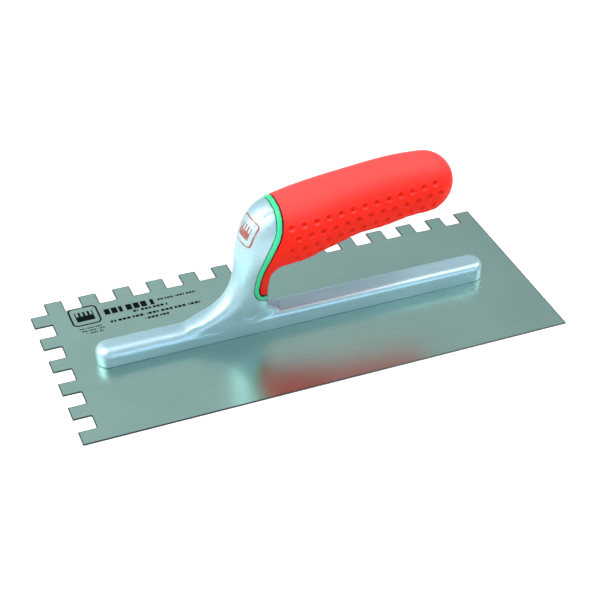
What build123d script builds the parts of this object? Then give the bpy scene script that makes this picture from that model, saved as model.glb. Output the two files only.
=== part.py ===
"""Notched trowel: a stainless blade on a die-cast foot, neck and head, with a two-material grip.

Frame: millimetres, origin at the centre of the blade's underside, +X along the blade from its
notched short side, +Y towards its notched long side, +Z up to the handle.
"""

import math
import os

from build123d import *

# Blade
blade_length = 280.0
blade_width = 120.0
blade_thickness = 0.7
notch_width = 10.0
notch_depth = 10.0
tooth_width = 10.0
notch_root_radius = 0.6

# Foot of the casting, the bar that stiffens the blade
foot_length = 232.0
foot_width = 14.6
foot_height = 10.9
foot_end_radius = 6.6
foot_front_edge_radius = 5.4
foot_rear_edge_radius = 3.4

# Weld studs that hold the foot to the blade
stud_count = 9
stud_pitch = 25.0
stud_height = 7.0
stud_shank_radius = 2.0
stud_head_radius = 3.2
stud_head_height = 1.6

# Neck and handle
neck_x = -30.0
grip_length = 102.0
grip_dome_length = 18.0

# Grip mouldings
skin_thickness = 2.5
core_wall = 3.0
rim_width = 2.6
rim_proud = 0.3
parting_gap = 0.45

# Tang of the casting, the plate inside the grip
tang_thickness = 7.0
tang_hole_radius = 5.0

foot_top = blade_thickness + foot_height

# Sections of the neck and handle, each an oval across the handle. A section is where it touches
# the front or top line, where it touches the rear or under line, its half width, and how square
# it is (2 is an ellipse). X is from the neck's axis and Z is from the foot's top.
FLARE_SECTIONS = [
    ((-38.0, -5.0), (19.5, -5.0), 7.25, 3.6),
    ((-37.0, -0.4), (19.0, -0.4), 7.2, 3.4),
    ((-24.6, 4.6), (14.8, 3.2), 7.3, 3.0),
    ((-15.8, 10.1), (12.4, 7.2), 7.8, 2.6),
    ((-10.2, 17.6), (12.2, 14.6), 8.6, 2.2),
]
KNEE_SECTIONS = [
    ((-7.6, 26.2), (13.1, 21.1), 9.8, 2.0),
    ((-6.8, 34.9), (14.2, 25.6), 11.2, 2.0),
    ((-5.4, 43.8), (16.1, 28.3), 13.1, 2.0),
    ((-3.3, 52.8), (18.8, 30.1), 14.9, 2.0),
    ((0.4, 61.0), (22.6, 30.7), 16.3, 2.0),
    ((5.8, 67.2), (26.9, 31.0), 17.5, 2.0),
]

# Along the grip, a section's two X values are shares of the grip's length.
GRIP_SECTIONS = [
    ((0.158, 71.4), (0.303, 31.5), 18.3, 2.0),
    ((0.292, 74.3), (0.363, 33.5), 18.5, 2.0),
    ((0.421, 76.5), (0.471, 37.0), 17.6, 2.0),
    ((0.634, 79.1), (0.676, 41.1), 16.7, 2.0),
    ((0.862, 80.8), (0.893, 43.8), 16.2, 2.0),
    ((1.000, 80.3), (1.010, 45.0), 15.5, 2.0),
]

# The casting's edge against the grip, seen from the side: down the knee, then round the tail.
SEAM_KNEE = [(12.8, 73.4), (12.6, 62.2), (7.4, 48.2), (3.4, 34.4), (1.7, 20.0)]
SEAM_TAIL_BOTTOM = (5.0, 12.2)
SEAM_TAIL_EXIT = (18.0, 5.4)

OVAL_POINTS = 16
SEAM_STEPS = 8
DOME_STEPS = 5
DOME_END_ANGLE = 84.0


def at_neck(point):
    """A side-view point given from the neck's foot, as a model point."""
    return Vector(neck_x + point[0], 0, foot_top + point[1])


def along_grip(point):
    """A side-view point given as a share of the grip's length and a height."""
    return at_neck((point[0] * grip_length, point[1]))


def signed_power(value, power):
    return math.copysign(abs(value) ** power, value)


def oval(front, rear, half_width, squareness, inset):
    """One closed section of the handle, drawn in by inset all round."""
    middle = (front + rear) / 2
    outward = (front - rear).normalized()
    half_depth = (front - rear).length / 2 - inset
    points = []
    for step in range(OVAL_POINTS):
        turn = 2 * math.pi * step / OVAL_POINTS
        depth = half_depth * signed_power(math.cos(turn), 2 / squareness)
        side = (half_width - inset) * signed_power(math.sin(turn), 2 / squareness)
        points.append(middle + outward * depth + Vector(0, side, 0))
    half = OVAL_POINTS // 2
    spacing = [step / half for step in range(half + 1)]
    across = Vector(0, 1, 0)
    far = Edge.make_spline(points[:half + 1], parameters=spacing, tangents=[across, -across])
    near = Edge.make_spline(points[half:] + points[:1], parameters=spacing,
                            tangents=[-across, across])
    return Wire([far, near])


def sections_of(rows, place, inset):
    """The ovals of a list of sections, with their points placed by the function place."""
    return [oval(place(front), place(rear), width, square, inset)
            for front, rear, width, square in rows]


def dome_sections(inset):
    """Ovals that close the grip's end, on an elliptical dome."""
    front, rear, half_width, squareness = GRIP_SECTIONS[-1]
    top, under = along_grip(front), along_grip(rear)
    half_depth = (top - under) / 2
    sections = []
    for step in range(1, DOME_STEPS + 1):
        turn = math.radians(DOME_END_ANGLE * step / DOME_STEPS)
        shrink = math.cos(turn)
        centre = (top + under) / 2 + Vector((grip_dome_length - inset) * math.sin(turn), 0, 0)
        reach = half_depth * shrink * (1 - inset / half_depth.length)
        width = (half_width - inset) * shrink
        sections.append(oval(centre + reach, centre - reach, width, squareness, 0))
    return sections


def handle(inset=0.0):
    """The flare, neck and handle as one solid, drawn in by inset from the outside surface."""
    sections = sections_of(FLARE_SECTIONS + KNEE_SECTIONS, at_neck, inset)
    sections += sections_of(GRIP_SECTIONS, along_grip, inset) + dome_sections(inset)
    return Solid.make_loft(sections)


def grip_side_of(direction):
    """The side-view direction at a right angle to the seam, towards the grip."""
    return Vector(-direction.Z, 0, direction.X).normalized()


def behind_seam(shift=0.0):
    """Everything on the grip's side of the seam, moved back from it by shift."""
    seam = Edge.make_spline([at_neck(point) for point in SEAM_KNEE])
    knee = []
    for step in range(SEAM_STEPS + 1):
        share = step / SEAM_STEPS
        knee.append(seam @ share + grip_side_of(seam % share) * shift)
    bottom, leave = at_neck(SEAM_TAIL_BOTTOM), at_neck(SEAM_TAIL_EXIT)
    lift = grip_side_of(leave - bottom) * shift
    bottom, leave = bottom + lift, leave + lift
    above = knee[0] + (knee[0] - knee[1]).normalized() * foot_top * 3
    far_x = neck_x + 2 * grip_length
    far_low, far_high = Vector(far_x, 0, leave.Z), Vector(far_x, 0, above.Z)
    outline = Wire([
        Edge.make_line(above, knee[0]),
        Edge.make_spline(knee),
        Edge.make_tangent_arc(knee[-1], seam % 1, bottom),
        Edge.make_line(bottom, leave),
        Edge.make_line(leave, far_low),
        Edge.make_line(far_low, far_high),
        Edge.make_line(far_high, above),
    ])
    return extrude(Face(outline), amount=foot_width * 3, dir=(0, 1, 0), both=True)


def notch_places(side_length):
    """Notch centres along a side, from its middle towards the end that keeps its tooth."""
    pitch = notch_width + tooth_width
    first = side_length / 2 - tooth_width - notch_width / 2
    return [first - pitch * number for number in range(int(side_length / pitch) - 1)]


def make_blade():
    """The stainless sheet, notched along one long and one short side."""
    outline = Rectangle(blade_length, blade_width)
    notch = RectangleRounded(notch_width, 2 * notch_depth, notch_root_radius)
    for along in notch_places(blade_length):
        outline -= Pos(along, blade_width / 2) * notch
    for along in notch_places(blade_width):
        outline -= Pos(-blade_length / 2, -along) * Rot(0, 0, 90) * notch
    corner = Rectangle(2 * notch_depth, 2 * notch_depth)
    outline -= Pos(-blade_length / 2, blade_width / 2) * corner
    return extrude(outline, amount=blade_thickness)


def stud_places():
    first = -stud_pitch * (stud_count - 1) / 2
    return [first + stud_pitch * number for number in range(stud_count)]


def make_stud(x):
    """A headed steel stud standing on the blade."""
    shank = Cylinder(stud_shank_radius, stud_height, align=(Align.CENTER, Align.CENTER, Align.MIN))
    head = Cylinder(stud_head_radius, stud_head_height,
                    align=(Align.CENTER, Align.CENTER, Align.MAX))
    return Pos(x, 0, blade_thickness) * (shank + Pos(0, 0, stud_height) * head)


def foot_bar(edge_radius):
    """The whole bar on the blade, with one rounding along its top edges."""
    plan = RectangleRounded(foot_length, foot_width, foot_end_radius)
    bar = Pos(0, 0, blade_thickness) * extrude(plan, amount=foot_height)
    return fillet(bar.faces().sort_by(Axis.Z)[-1].edges(), edge_radius)


def make_foot():
    """The bar, rounder in front of the neck than behind it."""
    front_half = Box(foot_length, 2 * foot_width, 4 * foot_top,
                     align=(Align.MAX, Align.CENTER, Align.CENTER))
    ahead = Pos(neck_x, 0, 0) * front_half
    return (foot_bar(foot_front_edge_radius) & ahead) + (foot_bar(foot_rear_edge_radius) - ahead)


def tang_sections():
    """Where the tang's sections touch the handle's front and under lines, from neck to end."""
    rows = [(at_neck(front), at_neck(rear)) for front, rear, _, _ in KNEE_SECTIONS]
    rows += [(along_grip(front), along_grip(rear)) for front, rear, _, _ in GRIP_SECTIONS[:-1]]
    return rows


def make_tang():
    """The casting's plate inside the grip, with holes that key the core to it."""
    inset = skin_thickness + core_wall
    front_line, rear_line = [], []
    for front, rear in tang_sections():
        step_in = (front - rear).normalized() * inset
        front_line.append(front - step_in)
        rear_line.append(rear + step_in)
    outline = Wire([
        Edge.make_spline(front_line),
        Edge.make_line(front_line[-1], rear_line[-1]),
        Edge.make_spline(rear_line),
        Edge.make_line(rear_line[0], front_line[0]),
    ])
    tang = extrude(Face(outline), amount=tang_thickness / 2, dir=(0, 1, 0), both=True)
    for front, rear, _, _ in GRIP_SECTIONS[1::2]:
        middle = (along_grip(front) + along_grip(rear)) / 2
        tang -= Pos(middle) * Cylinder(tang_hole_radius, 2 * tang_thickness, rotation=(90, 0, 0))
    return tang


def make_casting(outside, grip_side, tang, studs):
    """Foot, flare, neck, head and tang as the one die casting."""
    casting = make_foot() + (outside - grip_side) + tang
    for stud in studs:
        casting -= stud
    return casting


def make_parts():
    """Every separate piece of the trowel, by name."""
    outside = handle()
    core_outside = handle(skin_thickness)
    grip_side = behind_seam()
    studs = [make_stud(x) for x in stud_places()]
    tang = make_tang()
    rim = handle(-rim_proud) & (grip_side - behind_seam(rim_width))
    parts = {
        "blade": make_blade(),
        "mounting_casting": make_casting(outside, grip_side, tang, studs),
        "grip_core": (core_outside & grip_side) + rim - tang,
        "grip_skin": (outside - core_outside) & behind_seam(rim_width + parting_gap),
    }
    for number, stud in enumerate(studs, start=1):
        parts[f"weld_stud_{number}"] = stud
    return parts


os.makedirs("parts", exist_ok=True)
for name, part in make_parts().items():
    export_step(part, f"parts/{name}.step")
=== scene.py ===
"""Notched trowel: the looks of a stainless blade, an aluminium casting and a two-material grip.

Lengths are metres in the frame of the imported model: X along the blade, Y towards its notched long
side, Z up. Sizes in millimetres are multiplied by MM.
"""

import math

import bmesh
import bpy
import numpy as np
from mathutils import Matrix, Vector
from mathutils.bvhtree import BVHTree


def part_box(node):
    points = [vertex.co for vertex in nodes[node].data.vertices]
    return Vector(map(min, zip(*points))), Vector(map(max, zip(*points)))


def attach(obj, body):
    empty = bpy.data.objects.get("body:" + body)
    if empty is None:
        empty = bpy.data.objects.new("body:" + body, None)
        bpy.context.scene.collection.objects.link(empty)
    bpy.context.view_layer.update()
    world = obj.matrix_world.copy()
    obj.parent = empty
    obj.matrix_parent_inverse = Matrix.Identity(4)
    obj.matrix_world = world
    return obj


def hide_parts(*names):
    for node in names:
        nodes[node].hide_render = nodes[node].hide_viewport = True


MM = 0.001

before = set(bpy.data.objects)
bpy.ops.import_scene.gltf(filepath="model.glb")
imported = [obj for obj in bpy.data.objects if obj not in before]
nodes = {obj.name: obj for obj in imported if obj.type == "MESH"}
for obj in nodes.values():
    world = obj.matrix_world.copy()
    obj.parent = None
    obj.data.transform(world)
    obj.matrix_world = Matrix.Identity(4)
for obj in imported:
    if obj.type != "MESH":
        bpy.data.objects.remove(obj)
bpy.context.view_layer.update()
blade_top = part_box("blade")[1].z
head_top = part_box("mounting_casting")[1].z

# Meshes: cell sizes, and how far smoothing reaches
CASTING_CELL = 0.45 * MM
RIM_CELL = 0.45 * MM
SKIN_CELL = 0.38 * MM
CASTING_BAND = 7.0 * MM
SKIN_BAND = 8.0 * MM
FOOT_TOP = 11.6 * MM
BLADE_EDGE_ROUND = 0.1 * MM
# Width of the painted shade border along the blade's edges
EDGE_SHADE_WIDTH = 0.75 * MM
BLADE_FLAT_AREA = 1000.0 * MM * MM

# Blends of the casting, each from 0 to 1 between its two places, in millimetres
FLARE_FRONT_X = (-78, -62)
FLARE_BACK_X = (-4, -12)
TIP_FRONT_X, TIP_BACK_X = (-84, -76), (-50, -60)
CORNER_FRONT_X, CORNER_BACK_X = (-80, -73), (-54, -61)
CORNER_Z = (6.5, 9.5)
HEAD_Z, HEAD_X = (50, 58), (-14, -16.5)

# Dimples in the lower half of the skin
DIMPLE_PITCH = 7.0 * MM
DIMPLE_ROW_DROP = 6.7 * MM
DIMPLE_SIDE_ROWS = 4
DIMPLE_RADIUS = 1.85 * MM
DIMPLE_DEPTH = 1.1 * MM
DIMPLE_FIRST_X = -10.2 * MM
DIMPLE_LAST_X = 79.0 * MM
DIMPLE_FIRST_Z = 74.1465 * MM
DIMPLE_ROW_CLIMB = 0.093
DIMPLE_LIP = 0.12

# Finger waves under the grip
WAVE_LENGTH = 30.0 * MM
WAVE_HEIGHT = 0.45 * MM
WAVE_CREST_X = 47.0 * MM

# Round marks that the die's ejector pins leave in the casting: x, z, radius, in millimetres
PIN_MARKS = [(-29.9, 15.8, 4.0), (-107.8, 6.0, 2.3), (107.3, 7.4, 2.3)]
PIN_DEPTH = 0.22 * MM
PIN_EDGE = 0.35
PIN_RING = 0.5

# The handle's middle line seen from the side, x and z in millimetres, from the flare to the end,
# and how far out from it its surface and its two sides' difference can be
MIDDLE_LINE = [
    (-84, 3), (-52, 4), (-37, 14), (-28, 32), (-24, 49), (-15, 61), (5, 66), (40, 72), (90, 75),
]
HANDLE_REACH = 28.0 * MM
SIDES_DIFFER = 4.0 * MM
SIDES_BLEND = 8.0 * MM

# The head's mark: its middle in millimetres, its half size and how far its face leans back
MARK_X, MARK_Y, MARK_Z = -30.4, -2.0, 68.0
MARK_SIZE = 7.2
MARK_LEAN = math.radians(25.0)

# The blade's mark and the rows of print beside and under it, in millimetres: start, end, level,
# height and beat of each row
BLADE_MARK_X, BLADE_MARK_Y, BLADE_MARK_SIZE = -111.2, 41.6, 7.9
PRINT_ROWS = [
    (-100.0, -70.5, 40.8, 5.2, 4.3),
    (-68.5, -45.0, 41.6, 1.5, 1.9),
    (-85.0, -64.0, 36.2, 1.9, 2.3),
    (-99.0, -46.0, 31.4, 1.9, 2.5),
    (-80.0, -66.0, 27.6, 1.8, 2.2),
    (-117.5, -104.5, 30.3, 1.0, 1.5),
    (-116.5, -103.5, 28.0, 1.0, 1.7),
    (-114.0, -104.5, 25.7, 1.0, 1.6),
]


# ---------------------------------------------------------------- shader arithmetic


class Value:
    """A socket's value in a material, written in ordinary arithmetic."""

    def __init__(self, shader, socket):
        self.shader = shader
        self.socket = socket

    def _math(self, operation, first, second=0.0):
        return self.shader.node("ShaderNodeMath", {"operation": operation}, {0: first, 1: second})

    def __add__(self, other):
        return self._math("ADD", self, other)

    __radd__ = __add__

    def __sub__(self, other):
        return self._math("SUBTRACT", self, other)

    def __rsub__(self, other):
        return self._math("SUBTRACT", other, self)

    def __mul__(self, other):
        return self._math("MULTIPLY", self, other)

    __rmul__ = __mul__

    def __pow__(self, other):
        return self._math("POWER", self, other)

    def __mod__(self, other):
        return self._math("FLOORED_MODULO", self, other)

    def __abs__(self):
        return self._math("ABSOLUTE", self)

    def __gt__(self, other):
        return self._math("GREATER_THAN", self, other)

    def __lt__(self, other):
        return self._math("LESS_THAN", self, other)

    def at_least(self, other):
        return self._math("MAXIMUM", self, other)

    def ramp(self, start, end):
        """0 at start and 1 at end, smooth between them."""
        return self.shader.node(
            "ShaderNodeMapRange",
            {"interpolation_type": "SMOOTHSTEP"},
            {"Value": self, "From Min": start, "From Max": end},
        )


class NodeTree:
    """The nodes of a material or of the studio's surround."""

    def __init__(self, tree):
        self.tree = tree

    def node(self, kind, settings, sockets, output=0):
        """A node of that kind, its settings first and then its sockets' values or links."""
        made = self.tree.nodes.new(kind)
        for name, value in settings.items():
            setattr(made, name, value)
        for name, value in sockets.items():
            if isinstance(value, Value):
                self.tree.links.new(value.socket, made.inputs[name])
            else:
                made.inputs[name].default_value = value
        return Value(self, made.outputs[output]) if made.outputs else None

    def parts_of(self, vector):
        """The x, y and z of a vector."""
        first = self.node("ShaderNodeSeparateXYZ", {}, {0: vector})
        return [Value(self, output) for output in first.socket.node.outputs]


class Shader(NodeTree):
    """One material and the nodes that make it."""

    def __init__(self, name):
        self.material = bpy.data.materials.new(name)
        self.material.use_nodes = True
        super().__init__(self.material.node_tree)
        self.tree.nodes.clear()
        self.place = self.node("ShaderNodeTexCoord", {}, {}, "Object")
        millimetres = self.node(
            "ShaderNodeVectorMath", {"operation": "SCALE"}, {0: self.place, "Scale": 1 / MM}
        )
        self.x, self.y, self.z = self.parts_of(millimetres)

    def stretched(self, x, y, z):
        """The object's coordinates, in metres, each multiplied by its own number."""
        return self.node(
            "ShaderNodeVectorMath", {"operation": "MULTIPLY"}, {0: self.place, 1: (x, y, z)}
        )

    def noise(self, vector, scale, detail=2.0, roughness=0.5):
        return self.node(
            "ShaderNodeTexNoise",
            {},
            {"Vector": vector, "Scale": scale, "Detail": detail, "Roughness": roughness},
        )

    def cells(self, vector, scale):
        """Distance to the nearest of a scatter of points."""
        return self.node("ShaderNodeTexVoronoi", {}, {"Vector": vector, "Scale": scale}, "Distance")

    def mix(self, share, first, second):
        """A colour that goes from first to second as share goes from 0 to 1."""
        return self.node(
            "ShaderNodeMix", {"data_type": "RGBA"}, {0: share, 6: first, 7: second}, 2
        )

    def bump(self, height, distance, strength=1.0, under=None):
        """A normal for a height of 0 to 1 over that distance in metres, on top of another."""
        sockets = {"Height": height, "Distance": distance, "Strength": strength}
        if under is not None:
            sockets["Normal"] = under
        return self.node("ShaderNodeBump", {}, sockets)

    def attribute(self, name):
        """A number that the mesh holds at each of its points."""
        return self.node("ShaderNodeAttribute", {"attribute_name": name}, {}, "Fac")

    def facing(self):
        """The surface's direction, in the object's own axes."""
        return self.parts_of(self.node("ShaderNodeTexCoord", {}, {}, "Normal"))

    def finish(self, **sockets):
        """The surface shader with those socket values, as the material's output."""
        named = {name.replace("_", " "): value for name, value in sockets.items()}
        surface = self.node("ShaderNodeBsdfPrincipled", {}, named)
        self.node("ShaderNodeOutputMaterial", {}, {"Surface": surface})
        return self.material


def tone(red, green, blue):
    """A screen colour of 0 to 255 a channel as the linear colour that shaders take."""
    def linear(channel):
        share = channel / 255
        return share / 12.92 if share <= 0.04045 else ((share + 0.055) / 1.055) ** 2.4

    return linear(red), linear(green), linear(blue), 1.0


def rounded_box(x, y, half_x, half_y, corner):
    """Distance outside a rounded rectangle about the origin, negative inside it."""
    out_x = (abs(x) - (half_x - corner)).at_least(0.0)
    out_y = (abs(y) - (half_y - corner)).at_least(0.0)
    return (out_x * out_x + out_y * out_y) ** 0.5 - corner


def ink(distance, soft=0.12):
    """1 inside a shape and 0 outside it, over a soft edge in millimetres."""
    return distance.ramp(soft, -soft)


def comb_mark(x, y, size):
    """A generic mark: a notched edge in a rounded square of that half size."""
    border = size * 0.13
    frame_line = ink(abs(rounded_box(x, y, size, size, size * 0.34)) - border / 2)
    body = ink(rounded_box(x, y + size * 0.28, size * 0.66, size * 0.3, size * 0.06))
    pitch = size * 0.33
    tooth_x = (x + pitch * 10.5) % pitch - pitch / 2
    tooth = ink(rounded_box(tooth_x, y - size * 0.16, pitch * 0.25, size * 0.34, size * 0.02))
    teeth = tooth * ink(abs(x) - size * 0.66)
    return frame_line.at_least(body).at_least(teeth)


def dashes(x, y, start, end, level, height, beat):
    """A row of plain bars of uneven length from start to end, as a maker's printed data has."""
    middle, half = (start + end) / 2, (end - start) / 2
    row = ink(rounded_box(x - middle, y - level, half, height / 2, height * 0.1))
    gaps = ((x + 200.0) % beat > beat * 0.22) * ((x + 203.0) % (beat * 3.3) > beat * 0.5)
    return row * gaps


# ---------------------------------------------------------------- materials


def stainless_sheet():
    """Cold-rolled stainless sheet with a fine brushed grain along the blade, and its print."""
    s = Shader("brushed_stainless_sheet")
    _, _, up = s.facing()
    # Painted shade: the blade's side faces are painted dark by the way they face; as sheared edges
    # they are also rougher
    cut_side_rough_and_shaded = abs(up).ramp(0.8, 0.4)

    grain = s.noise(s.stretched(40, 2600, 1), 1.0, 3.0, 0.6)
    long_grain = s.noise(s.stretched(9, 700, 1), 1.0, 2.0, 0.5)
    cloud = s.noise(s.place, 14.0, 3.0, 0.5)
    scratch_field = s.noise(s.stretched(30, 420, 1), 1.0, 0.0)
    scratches = (abs(scratch_field - 0.5) < 0.004) * (s.noise(s.place, 55.0) > 0.56)

    printed = comb_mark(s.x - BLADE_MARK_X, s.y - BLADE_MARK_Y, BLADE_MARK_SIZE)
    for row in PRINT_ROWS:
        printed = printed.at_least(dashes(s.x, s.y, *row))
    worn = s.noise(s.place, 900.0, 2.0) > 0.3
    printed = printed * (up > 0.9) * (0.9 + 0.1 * worn)

    steel = s.mix(cloud.ramp(0.3, 0.7), tone(172, 199, 187), tone(179, 206, 194))
    steel = s.mix(grain.ramp(0.35, 0.65) * 0.4, steel, tone(162, 190, 178))
    steel = s.mix(scratches * 0.2, steel, tone(205, 222, 218))
    # Painted shade: a dark border along the blade's edges
    steel = s.mix(s.attribute("edge_shade").ramp(0.1, 0.8) * 0.8, steel, tone(52, 62, 64))
    # Painted shade on the blade's side faces
    steel = s.mix(cut_side_rough_and_shaded, steel, tone(44, 52, 54))
    steel = s.mix(printed, steel, tone(16, 18, 20))
    roughness = 0.21 + 0.06 * grain + 0.04 * cloud + 0.15 * cut_side_rough_and_shaded + 0.2 * printed
    normal = s.bump(grain, 0.012 * MM, 0.5)
    normal = s.bump(long_grain, 0.03 * MM, 0.4, normal)
    return s.finish(Base_Color=steel, Metallic=1.0, Roughness=roughness, Normal=normal)


def cast_aluminium():
    """Bead-blasted die casting: a fine even grain, faint flow marks, and the head's ink mark."""
    s = Shader("bead_blasted_casting")
    toward_x, _, up = s.facing()
    grit = s.noise(s.place, 1500.0, 3.0, 0.65)
    pits = s.cells(s.place, 1100.0)
    flow = s.noise(s.stretched(22, 60, 60), 1.0, 3.0, 0.55)
    low_spots = s.noise(s.place, 160.0, 2.0)

    lean_x, lean_z = math.sin(MARK_LEAN), math.cos(MARK_LEAN)
    up_the_face = (s.x - MARK_X) * lean_x + (s.z - MARK_Z) * lean_z
    faces_front = (up * lean_x - toward_x * lean_z > 0.25) * (s.x < -12.0)
    emblem = comb_mark(s.y - MARK_Y, up_the_face, MARK_SIZE) * faces_front
    emblem = emblem * (0.55 + 0.4 * low_spots.ramp(0.3, 0.55))

    metal = s.mix(flow.ramp(0.3, 0.7), tone(170, 200, 210), tone(178, 207, 217))
    metal = s.mix(grit.ramp(0.45, 0.7) * 0.5, metal, tone(204, 227, 233))
    metal = s.mix(pits.ramp(0.35, 0.1) * 0.3, metal, tone(132, 166, 184))
    metal = s.mix(emblem, metal, tone(150, 62, 52))
    # Painted shade along the joint with the teal rim
    metal = s.mix(s.attribute("joint_shade") * 0.8, metal, tone(30, 42, 48))
    roughness = 0.4 + 0.1 * grit + 0.06 * flow + 0.1 * emblem
    normal = s.bump(grit, 0.1 * MM, 0.6)
    normal = s.bump(low_spots, 0.12 * MM, 0.25, normal)
    return s.finish(
        Base_Color=metal,
        Metallic=0.85 - 0.7 * emblem,
        Roughness=roughness,
        Normal=normal,
    )


def soft_red_skin():
    """Soft red elastomer with a fine moulded texture, a painted highlight on top and painted shade
    underneath.
    """
    s = Shader("soft_red_elastomer")
    _, _, up = s.facing()
    texture = s.noise(s.place, 3200.0, 2.0, 0.55)
    patch = s.noise(s.place, 60.0, 3.0)
    tiny = s.cells(s.place, 2100.0)
    red = s.mix(patch.ramp(0.3, 0.7), tone(236, 26, 2), tone(240, 30, 4))
    red = s.mix(texture.ramp(0.4, 0.7) * 0.25, red, tone(244, 42, 14))
    # Painted highlight: upward-facing parts painted pinker and lighter
    red = s.mix(up.ramp(0.2, 0.95) * 0.65, red, tone(252, 82, 82))
    # Painted shade: downward-facing parts painted darker
    red = s.mix(up.ramp(-0.1, -0.8) * 0.6, red, tone(236, 16, 0))
    # Painted shade inside the dimples
    red = s.mix(s.attribute("dimple_shade") * 0.3, red, tone(170, 16, 2))
    # Painted shade along the joint with the teal rim
    red = s.mix(s.attribute("joint_shade") * 0.8, red, tone(40, 6, 4))
    roughness = 0.46 + 0.08 * patch + 0.08 * texture
    normal = s.bump(texture, 0.03 * MM, 0.5)
    normal = s.bump(tiny, 0.02 * MM, 0.3, normal)
    return s.finish(
        Base_Color=red, Roughness=roughness, Normal=normal, Specular_IOR_Level=0.14
    )


def teal_core_plastic():
    """Hard teal plastic, satin from the mould."""
    s = Shader("moulded_teal_plastic")
    texture = s.noise(s.place, 2600.0, 2.0)
    patch = s.noise(s.place, 90.0, 2.0)
    teal = s.mix(patch.ramp(0.3, 0.7), tone(44, 188, 128), tone(52, 200, 140))
    # Painted shade in the groove between the rim and the skin
    teal = s.mix(s.attribute("joint_shade") * 0.95, teal, tone(8, 22, 20))
    roughness = 0.3 + 0.1 * texture + 0.08 * patch
    normal = s.bump(texture, 0.015 * MM, 0.4)
    return s.finish(Base_Color=teal, Roughness=roughness, Normal=normal)


def stud_steel():
    """Plain drawn steel of the weld studs inside the foot."""
    s = Shader("drawn_stud_steel")
    rings = s.noise(s.stretched(300, 300, 2600), 1.0, 2.0)
    steel = s.mix(rings.ramp(0.3, 0.7), tone(150, 154, 156), tone(176, 180, 182))
    return s.finish(
        Base_Color=steel,
        Metallic=1.0,
        Roughness=0.32 + 0.12 * rings,
        Normal=s.bump(rings, 0.01 * MM, 0.4),
    )


def pale_floor():
    """A plain white studio floor with the faintest unevenness."""
    s = Shader("white_floor_paint")
    cloud = s.noise(s.place, 3.0, 2.0)
    white = s.mix(cloud, tone(238, 238, 239), tone(241, 241, 242))
    return s.finish(Base_Color=white, Roughness=0.9 + 0.05 * cloud)


# ---------------------------------------------------------------- meshes


def points_of(piece):
    points = np.empty(len(piece.data.vertices) * 3)
    piece.data.vertices.foreach_get("co", points)
    return points.reshape(-1, 3)


def normals_of(piece):
    normals = np.empty(len(piece.data.vertices) * 3)
    piece.data.vertices.foreach_get("normal", normals)
    return normals.reshape(-1, 3)


def set_points(piece, points):
    piece.data.vertices.foreach_set("co", points.ravel())
    piece.data.update()


def copy_of(node, name):
    """A new piece with the node's mesh, its doubled corners joined."""
    work = bmesh.new()
    work.from_mesh(nodes[node].data)
    bmesh.ops.remove_doubles(work, verts=work.verts, dist=0.001 * MM)
    mesh = bpy.data.meshes.new(name)
    work.to_mesh(mesh)
    work.free()
    piece = bpy.data.objects.new(name, mesh)
    bpy.context.scene.collection.objects.link(piece)
    return piece


def apply_modifiers(piece):
    """Keeps what the piece's modifiers make as its own mesh."""
    made = piece.evaluated_get(bpy.context.evaluated_depsgraph_get())
    mesh = bpy.data.meshes.new_from_object(made)
    piece.modifiers.clear()
    piece.data = mesh


def even_mesh(piece, cell):
    """Gives the piece an even, fine mesh of the same shape, which can be smoothed and worked."""
    remesh = piece.modifiers.new("even_mesh", "REMESH")
    remesh.mode = "VOXEL"
    remesh.voxel_size = cell
    apply_modifiers(piece)


def relax(piece, rounds, weight=1.0, push_back=0.52):
    """Evens out the surface. Every second round pushes back, so that nothing shrinks."""
    points = points_of(piece)
    edges = np.empty(len(piece.data.edges) * 2, np.int64)
    piece.data.edges.foreach_get("vertices", edges)
    first, second = edges.reshape(-1, 2).T
    size = len(points)
    neighbours = np.bincount(first, minlength=size) + np.bincount(second, minlength=size)
    weight = np.broadcast_to(weight, size)[:, None]
    for turn in range(rounds):
        total = np.empty_like(points)
        for axis in range(3):
            total[:, axis] = np.bincount(first, points[second, axis], size)
            total[:, axis] += np.bincount(second, points[first, axis], size)
        pull = 0.5 if turn % 2 == 0 else -push_back
        points += pull * weight * (total / neighbours[:, None] - points)
    set_points(piece, points)


def smooth_step(value, start, end):
    """0 at start and 1 at end, smooth between them."""
    share = np.clip((value - start) / (end - start), 0, 1)
    return share * share * (3 - 2 * share)


def dress(piece, material, slot, *replaced, smooth=True):
    """Gives a finished piece its material and hides the nodes it stands for. The slot is not used.
    """
    piece.data.materials.clear()
    piece.data.materials.append(material)
    for face in piece.data.polygons:
        face.use_smooth = smooth
    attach(piece, "root")
    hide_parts(*replaced)


def surface_of(piece):
    """The piece's surface, to measure to and to cast rays at."""
    work = bmesh.new()
    work.from_mesh(piece.data)
    surface = BVHTree.FromBMesh(work)
    work.free()
    return surface


def middle_band(piece, half_width):
    """1 on the handle's middle line and 0 beyond that distance to each side of it."""
    return smooth_step(abs(points_of(piece)[:, 1]), half_width, half_width * 0.4)


def middle_of(points):
    """The nearest place on the handle's middle line to each point, and which way is its front."""
    line = np.array([(x, 0.0, z) for x, z in MIDDLE_LINE]) * MM
    nearest, front = np.zeros_like(points), np.zeros_like(points)
    best = np.full(len(points), np.inf)
    for start, end in zip(line[:-1], line[1:]):
        span = end - start
        along = np.clip((points - start) @ span / (span @ span), 0, 1)
        place = start + along[:, None] * span
        away = np.linalg.norm(points - place, axis=1)
        nearest[away < best] = place[away < best]
        front[away < best] = np.array((-span[2], 0, span[0])) / np.linalg.norm(span)
        best = np.minimum(best, away)
    return nearest, front


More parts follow.
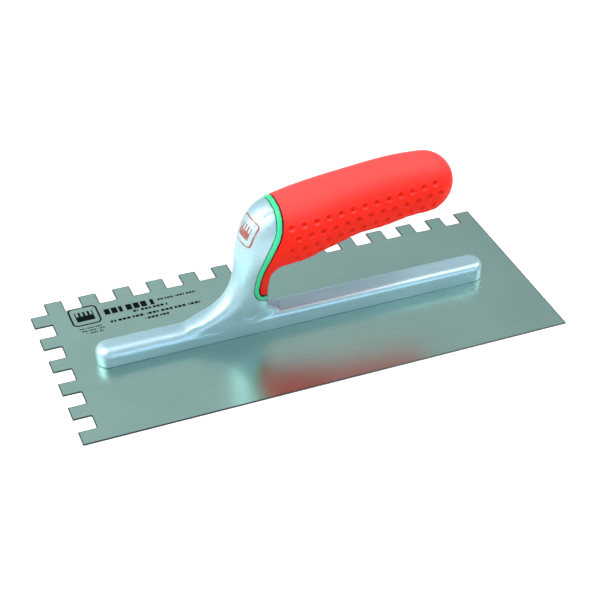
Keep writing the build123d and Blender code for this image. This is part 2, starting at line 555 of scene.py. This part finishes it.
def even_sides(piece, lowest):
    """Makes the handle's two sides alike.

    The front and top follow the far side, the back and underside follow the near side.
    """
    surface = surface_of(piece)
    points = points_of(piece)
    middles, front = middle_of(points)
    offsets = points - middles
    radii = np.linalg.norm(offsets, axis=1)
    outward = offsets / radii[:, None]
    like_far = smooth_step((outward * front).sum(1), -0.35, 0.35)
    follow = np.where(points[:, 1] < 0, like_far, 1 - like_far)
    share = smooth_step(points[:, 2], lowest, lowest + SIDES_BLEND) * follow
    for index in np.where(share > 0)[0]:
        middle, out = Vector(middles[index]), Vector(outward[index])
        across = Vector((out.x, -out.y, out.z))
        own = surface.ray_cast(middle + out * HANDLE_REACH, -out)[3]
        other = surface.ray_cast(middle + across * HANDLE_REACH, -across)[3]
        if own is None or other is None or HANDLE_REACH - own > radii[index] + 0.2 * MM:
            continue
        if abs(own - other) < SIDES_DIFFER:
            points[index] += share[index] * (own - other) * outward[index]
    set_points(piece, points)


def worked_mesh(node, name, cell, lowest):
    """The node's shape as an even, fine mesh with both sides alike above the lowest height."""
    piece = copy_of(node, name)
    even_mesh(piece, cell)
    even_sides(piece, lowest)
    even_mesh(piece, cell)
    return piece


def between(values, places):
    """0 at the first of two places in millimetres and 1 at the second, smooth between them."""
    return smooth_step(values, places[0] * MM, places[1] * MM)


def make_casting():
    """The casting with its blended corners and the ejector pins' marks."""
    piece = worked_mesh("mounting_casting", "cast_mounting", CASTING_CELL, blade_top + 8 * MM)
    relax(piece, 16)
    x, _, z = points_of(piece).T
    relax(piece, 60, between(z, HEAD_Z) * between(x, HEAD_X), 0.4)
    x, _, z = points_of(piece).T
    flare = between(x, FLARE_FRONT_X) * between(x, FLARE_BACK_X)
    above_foot = smooth_step(z, FOOT_TOP - 1.2 * MM, FOOT_TOP + 0.6 * MM)
    below_head = smooth_step(z, head_top * 0.45, head_top * 0.3)
    relax(piece, 60, flare * above_foot * below_head, 0.4)
    flare_tip = between(x, TIP_FRONT_X) * between(x, TIP_BACK_X)
    relax(piece, 80, flare_tip * above_foot, 0.3)
    corner = between(x, CORNER_FRONT_X) * between(x, CORNER_BACK_X)
    relax(piece, 130, corner * between(z, CORNER_Z), 0.1)
    relax(piece, 24, middle_band(piece, CASTING_BAND) * (points_of(piece)[:, 2] > FOOT_TOP), 0.1)

    points, normals = points_of(piece), normals_of(piece)
    for mark_x, mark_z, radius in PIN_MARKS:
        away = np.hypot(points[:, 0] - mark_x * MM, points[:, 2] - mark_z * MM)
        disc = smooth_step(away, (radius + PIN_EDGE) * MM, (radius - PIN_EDGE) * MM)
        ring = np.exp(-(((away - radius * MM) / (PIN_RING * MM)) ** 2))
        near_side = (normals[:, 1] < -0.3) * (points[:, 1] < -4 * MM)
        points[:, 1] += near_side * (0.6 * disc + 0.4 * ring) * PIN_DEPTH
    set_points(piece, points)
    return piece


def dimple_centres(surface):
    """Where the dimples sit on the skin's outside, with the direction out of each."""
    rays = [math.radians(angle) for angle in range(60, -91, -2)]
    columns = int((DIMPLE_LAST_X - DIMPLE_FIRST_X) / (DIMPLE_PITCH / 2)) + 1
    centres = []
    for column in range(columns):
        x = DIMPLE_FIRST_X + column * DIMPLE_PITCH / 2
        top = surface.ray_cast(Vector((x, 0, 1)), Vector((0, 0, -1)))[0]
        under = surface.ray_cast(Vector((x, 0, blade_top + 2 * MM)), Vector((0, 0, 1)))[0]
        if top is None or under is None:
            continue
        middle = (top + under) / 2
        first_row_z = DIMPLE_FIRST_Z + DIMPLE_ROW_CLIMB * x
        travelled, before = 0.0, None
        rows = []
        for angle in rays:
            out = Vector((0, -math.cos(angle), math.sin(angle)))
            hit = surface.ray_cast(middle + out, -out)
            if hit[0] is None:
                continue
            point, normal = hit[0], hit[1]
            if before is None:
                if point.z > first_row_z:
                    continue
                rows.append((point, normal, 0.0))
            else:
                travelled += (point - before).length
                rows.append((point, normal, travelled))
            before = point
        for row in range(column % 2, DIMPLE_SIDE_ROWS + 1, 2):
            wanted = row * DIMPLE_ROW_DROP
            near = min(rows, key=lambda entry: abs(entry[2] - wanted), default=None)
            if near is None or abs(near[2] - wanted) > 1 * MM:
                continue
            point, normal, _ = near
            if abs(point.y) < DIMPLE_PITCH / 2:
                centres.append((Vector((point.x, 0, point.z)), Vector((0, 0, -1))))
                continue
            centres.append((point, normal))
            mirrored = Vector((point.x, -point.y, point.z)), Vector((normal.x, -normal.y, normal.z))
            centres.append(mirrored)
    return centres


def away_from_edges(piece):
    """1 over the skin, and 0 along the edge that meets the rim."""
    x, _, z = points_of(piece).T
    return smooth_step(x, -14.5 * MM, -10 * MM) * smooth_step(z, 30 * MM, 40 * MM)


def make_skin():
    """The soft skin with its finger waves and its staggered rows of dimples."""
    piece = worked_mesh("grip_skin", "dimpled_skin", SKIN_CELL, blade_top)
    relax(piece, 20)
    relax(piece, 60, middle_band(piece, SKIN_BAND) * away_from_edges(piece), 0.1)
    points, normals = points_of(piece), normals_of(piece)

    x, _, z = points.T
    underside = smooth_step(-normals[:, 2], 0.1, 0.8) * (z < 66 * MM)
    along = smooth_step(x, 0.0, 20 * MM) * smooth_step(x, 84 * MM, 70 * MM)
    wave = np.cos(2 * math.pi * (x - WAVE_CREST_X) / WAVE_LENGTH)
    points[:, 2] -= WAVE_HEIGHT * wave * underside * along
    set_points(piece, points)

    points, normals = points_of(piece), normals_of(piece)
    shift = np.zeros_like(points)
    dimple_shade = np.zeros(len(points))
    for centre, outward in dimple_centres(surface_of(piece)):
        offset = points - np.array(centre)
        near = np.where((abs(offset) < 2 * DIMPLE_RADIUS).all(1))[0]
        out = np.array(outward)
        level = offset[near] @ out
        across = np.linalg.norm(offset[near] - level[:, None] * out, axis=1)
        bowl = np.clip(1 - (across / DIMPLE_RADIUS) ** 2, 0, 1) ** 1.1
        lip = DIMPLE_LIP * np.exp(-(((across - 1.12 * DIMPLE_RADIUS) / (0.3 * DIMPLE_RADIUS)) ** 2))
        outer = (normals[near] @ out > 0.3) * (level > -1.2 * MM)
        depth = DIMPLE_DEPTH * (bowl - lip) * outer
        shift[near] -= depth[:, None] * out
        # Painted shade, deepest at each dimple's bottom
        dimple_shade[near] = np.maximum(dimple_shade[near], bowl * outer)
    set_points(piece, points + shift)
    write_layer(piece, "dimple_shade", dimple_shade)
    return piece


def write_layer(piece, name, values):
    """Keeps one number for each point of the piece, under that name."""
    layer = piece.data.attributes.new(name, "FLOAT", "POINT")
    layer.data.foreach_set("value", values.astype(np.float32))


def paint_joint_shade(piece, neighbour, full, none):
    """Writes how near each point is to the neighbour, 1 within full of it and 0 beyond none, as
    painted shade along the joint.
    """
    surface = surface_of(neighbour)
    points = points_of(piece)
    away = np.full(len(points), none)
    for index, point in enumerate(points):
        found = surface.find_nearest(Vector(point), none)
        if found[0] is not None:
            away[index] = found[3]
    write_layer(piece, "joint_shade", smooth_step(away, none, full))


def make_rim():
    """The hard core, whose rim shows between the casting and the skin."""
    piece = worked_mesh("grip_core", "teal_core", RIM_CELL, blade_top + 8 * MM)
    relax(piece, 40, push_back=0.48)
    return piece


def make_blade():
    """The blade with its sheared edges just broken, and a layer of painted shade along its edges.
    """
    piece = copy_of("blade", "notched_blade")
    work = bmesh.new()
    work.from_mesh(piece.data)
    bmesh.ops.dissolve_limit(
        work, angle_limit=math.radians(2), verts=work.verts, edges=work.edges
    )
    sharp = [e for e in work.edges if e.calc_face_angle(0) > math.radians(30)]
    bmesh.ops.bevel(
        work, geom=sharp, offset=BLADE_EDGE_ROUND, segments=2, profile=0.5, affect="EDGES"
    )
    flats = [f for f in work.faces if abs(f.normal.z) > 0.9 and f.calc_area() > BLADE_FLAT_AREA]
    bmesh.ops.inset_region(work, faces=flats, thickness=EDGE_SHADE_WIDTH, use_even_offset=True)
    # The inset's outer ring holds the painted shade along the edges
    edge_shade = work.verts.layers.float.new("edge_shade")
    inner = {v for face in flats for v in face.verts}
    for v in work.verts:
        v[edge_shade] = 0.0 if v in inner else 1.0
    work.to_mesh(piece.data)
    work.free()
    return piece


dress(make_blade(), stainless_sheet(), "blade_steel", "blade", smooth=False)
casting, rim, skin = make_casting(), make_rim(), make_skin()
# Painted shade where the pieces meet
paint_joint_shade(rim, skin, 0.75 * MM, 1.15 * MM)
paint_joint_shade(skin, rim, 0.5 * MM, 0.9 * MM)
paint_joint_shade(casting, rim, 0.25 * MM, 0.8 * MM)
dress(casting, cast_aluminium(), "cast_aluminium", "mounting_casting")
dress(rim, teal_core_plastic(), "core_plastic", "grip_core")
dress(skin, soft_red_skin(), "skin_rubber", "grip_skin")
steel_for_studs = stud_steel()
for name, node in nodes.items():
    if name.startswith("weld_stud"):
        node.data.materials.clear()
        node.data.materials.append(steel_for_studs)


# ---------------------------------------------------------------- studio


def make_floor():
    """A wide pale floor, a hair under the blade."""
    mesh = bpy.data.meshes.new("studio_floor")
    reach = 4.0
    corners = [(-reach, -reach, 0), (reach, -reach, 0), (reach, reach, 0), (-reach, reach, 0)]
    mesh.from_pydata(corners, [], [(0, 1, 2, 3)])
    floor = bpy.data.objects.new("studio_floor", mesh)
    floor.location.z = -0.05 * MM
    mesh.materials.append(pale_floor())
    bpy.context.scene.collection.objects.link(floor)


def soft_box(name, place, target, width, height, power, colour=(1, 1, 1)):
    """A soft rectangular light that looks at a target."""
    light = bpy.data.lights.new(name, "AREA")
    light.shape = "RECTANGLE"
    light.size, light.size_y = width, height
    light.energy = power
    light.color = colour
    lamp = bpy.data.objects.new(name, light)
    lamp.location = place
    lamp.rotation_mode = "QUATERNION"
    lamp.rotation_quaternion = (Vector(target) - Vector(place)).to_track_quat("-Z", "Y")
    bpy.context.scene.collection.objects.link(lamp)


def make_sky():
    """A studio surround, brighter overhead and towards the back left."""
    world = bpy.data.worlds.new("studio_surround")
    bpy.context.scene.world = world
    world.use_nodes = True
    studio = NodeTree(world.node_tree)
    studio.tree.nodes.clear()
    right, back, height = studio.parts_of(studio.node("ShaderNodeTexCoord", {}, {}, "Generated"))
    back_left = 0.7 * back - 0.7 * right
    strength = 0.16 + 0.2 * height.ramp(0.0, 0.9) + 0.6 * back_left.ramp(-0.5, 0.9)
    background = studio.node(
        "ShaderNodeBackground", {}, {"Color": (0.8, 0.93, 1.0, 1.0), "Strength": strength}
    )
    studio.node("ShaderNodeOutputWorld", {}, {"Surface": background})


def make_camera():
    """The camera on its arm: azimuth, elevation, roll, distance and the point looked at."""
    azimuth, elevation, roll = math.radians(-23.126), math.radians(37.48), math.radians(1.463)
    distance, target = 825.4 * MM, Vector((7.87, 13.26, 0.0)) * MM
    back = Vector(
        (
            math.sin(azimuth) * math.cos(elevation),
            -math.cos(azimuth) * math.cos(elevation),
            math.sin(elevation),
        )
    )
    lens = bpy.data.cameras.new("studio_camera")
    lens.sensor_width, lens.lens = 36.0, 86.46
    lens.clip_start, lens.clip_end = 0.01, 20.0
    camera = bpy.data.objects.new("studio_camera", lens)
    camera.location = target + back * distance
    camera.rotation_euler = (-back).to_track_quat("-Z", "Y").to_euler("XYZ")
    camera.rotation_euler.rotate_axis("Z", roll)
    bpy.context.scene.collection.objects.link(camera)
    bpy.context.scene.camera = camera


make_floor()
make_sky()
soft_box("upper_left_box", (-0.78, -0.1, 0.95), (0, 0, 0.02), 0.6, 0.9, 14.0, (1.0, 0.99, 0.94))
soft_box("upper_right_box", (0.75, -0.1, 0.95), (0, 0, 0.02), 0.6, 0.9, 11.0, (1.0, 0.99, 0.96))
soft_box("left_box", (-1.0, 0.35, 0.45), (0, 0, 0.03), 0.4, 0.5, 3.2, (1.0, 0.97, 0.84))
soft_box("front_strip", (0.35, -1.2, 0.14), (0, 0, 0.02), 1.4, 0.3, 5.5, (0.56, 0.8, 1.0))
make_camera()
bpy.context.scene.view_settings.view_transform = "Standard"
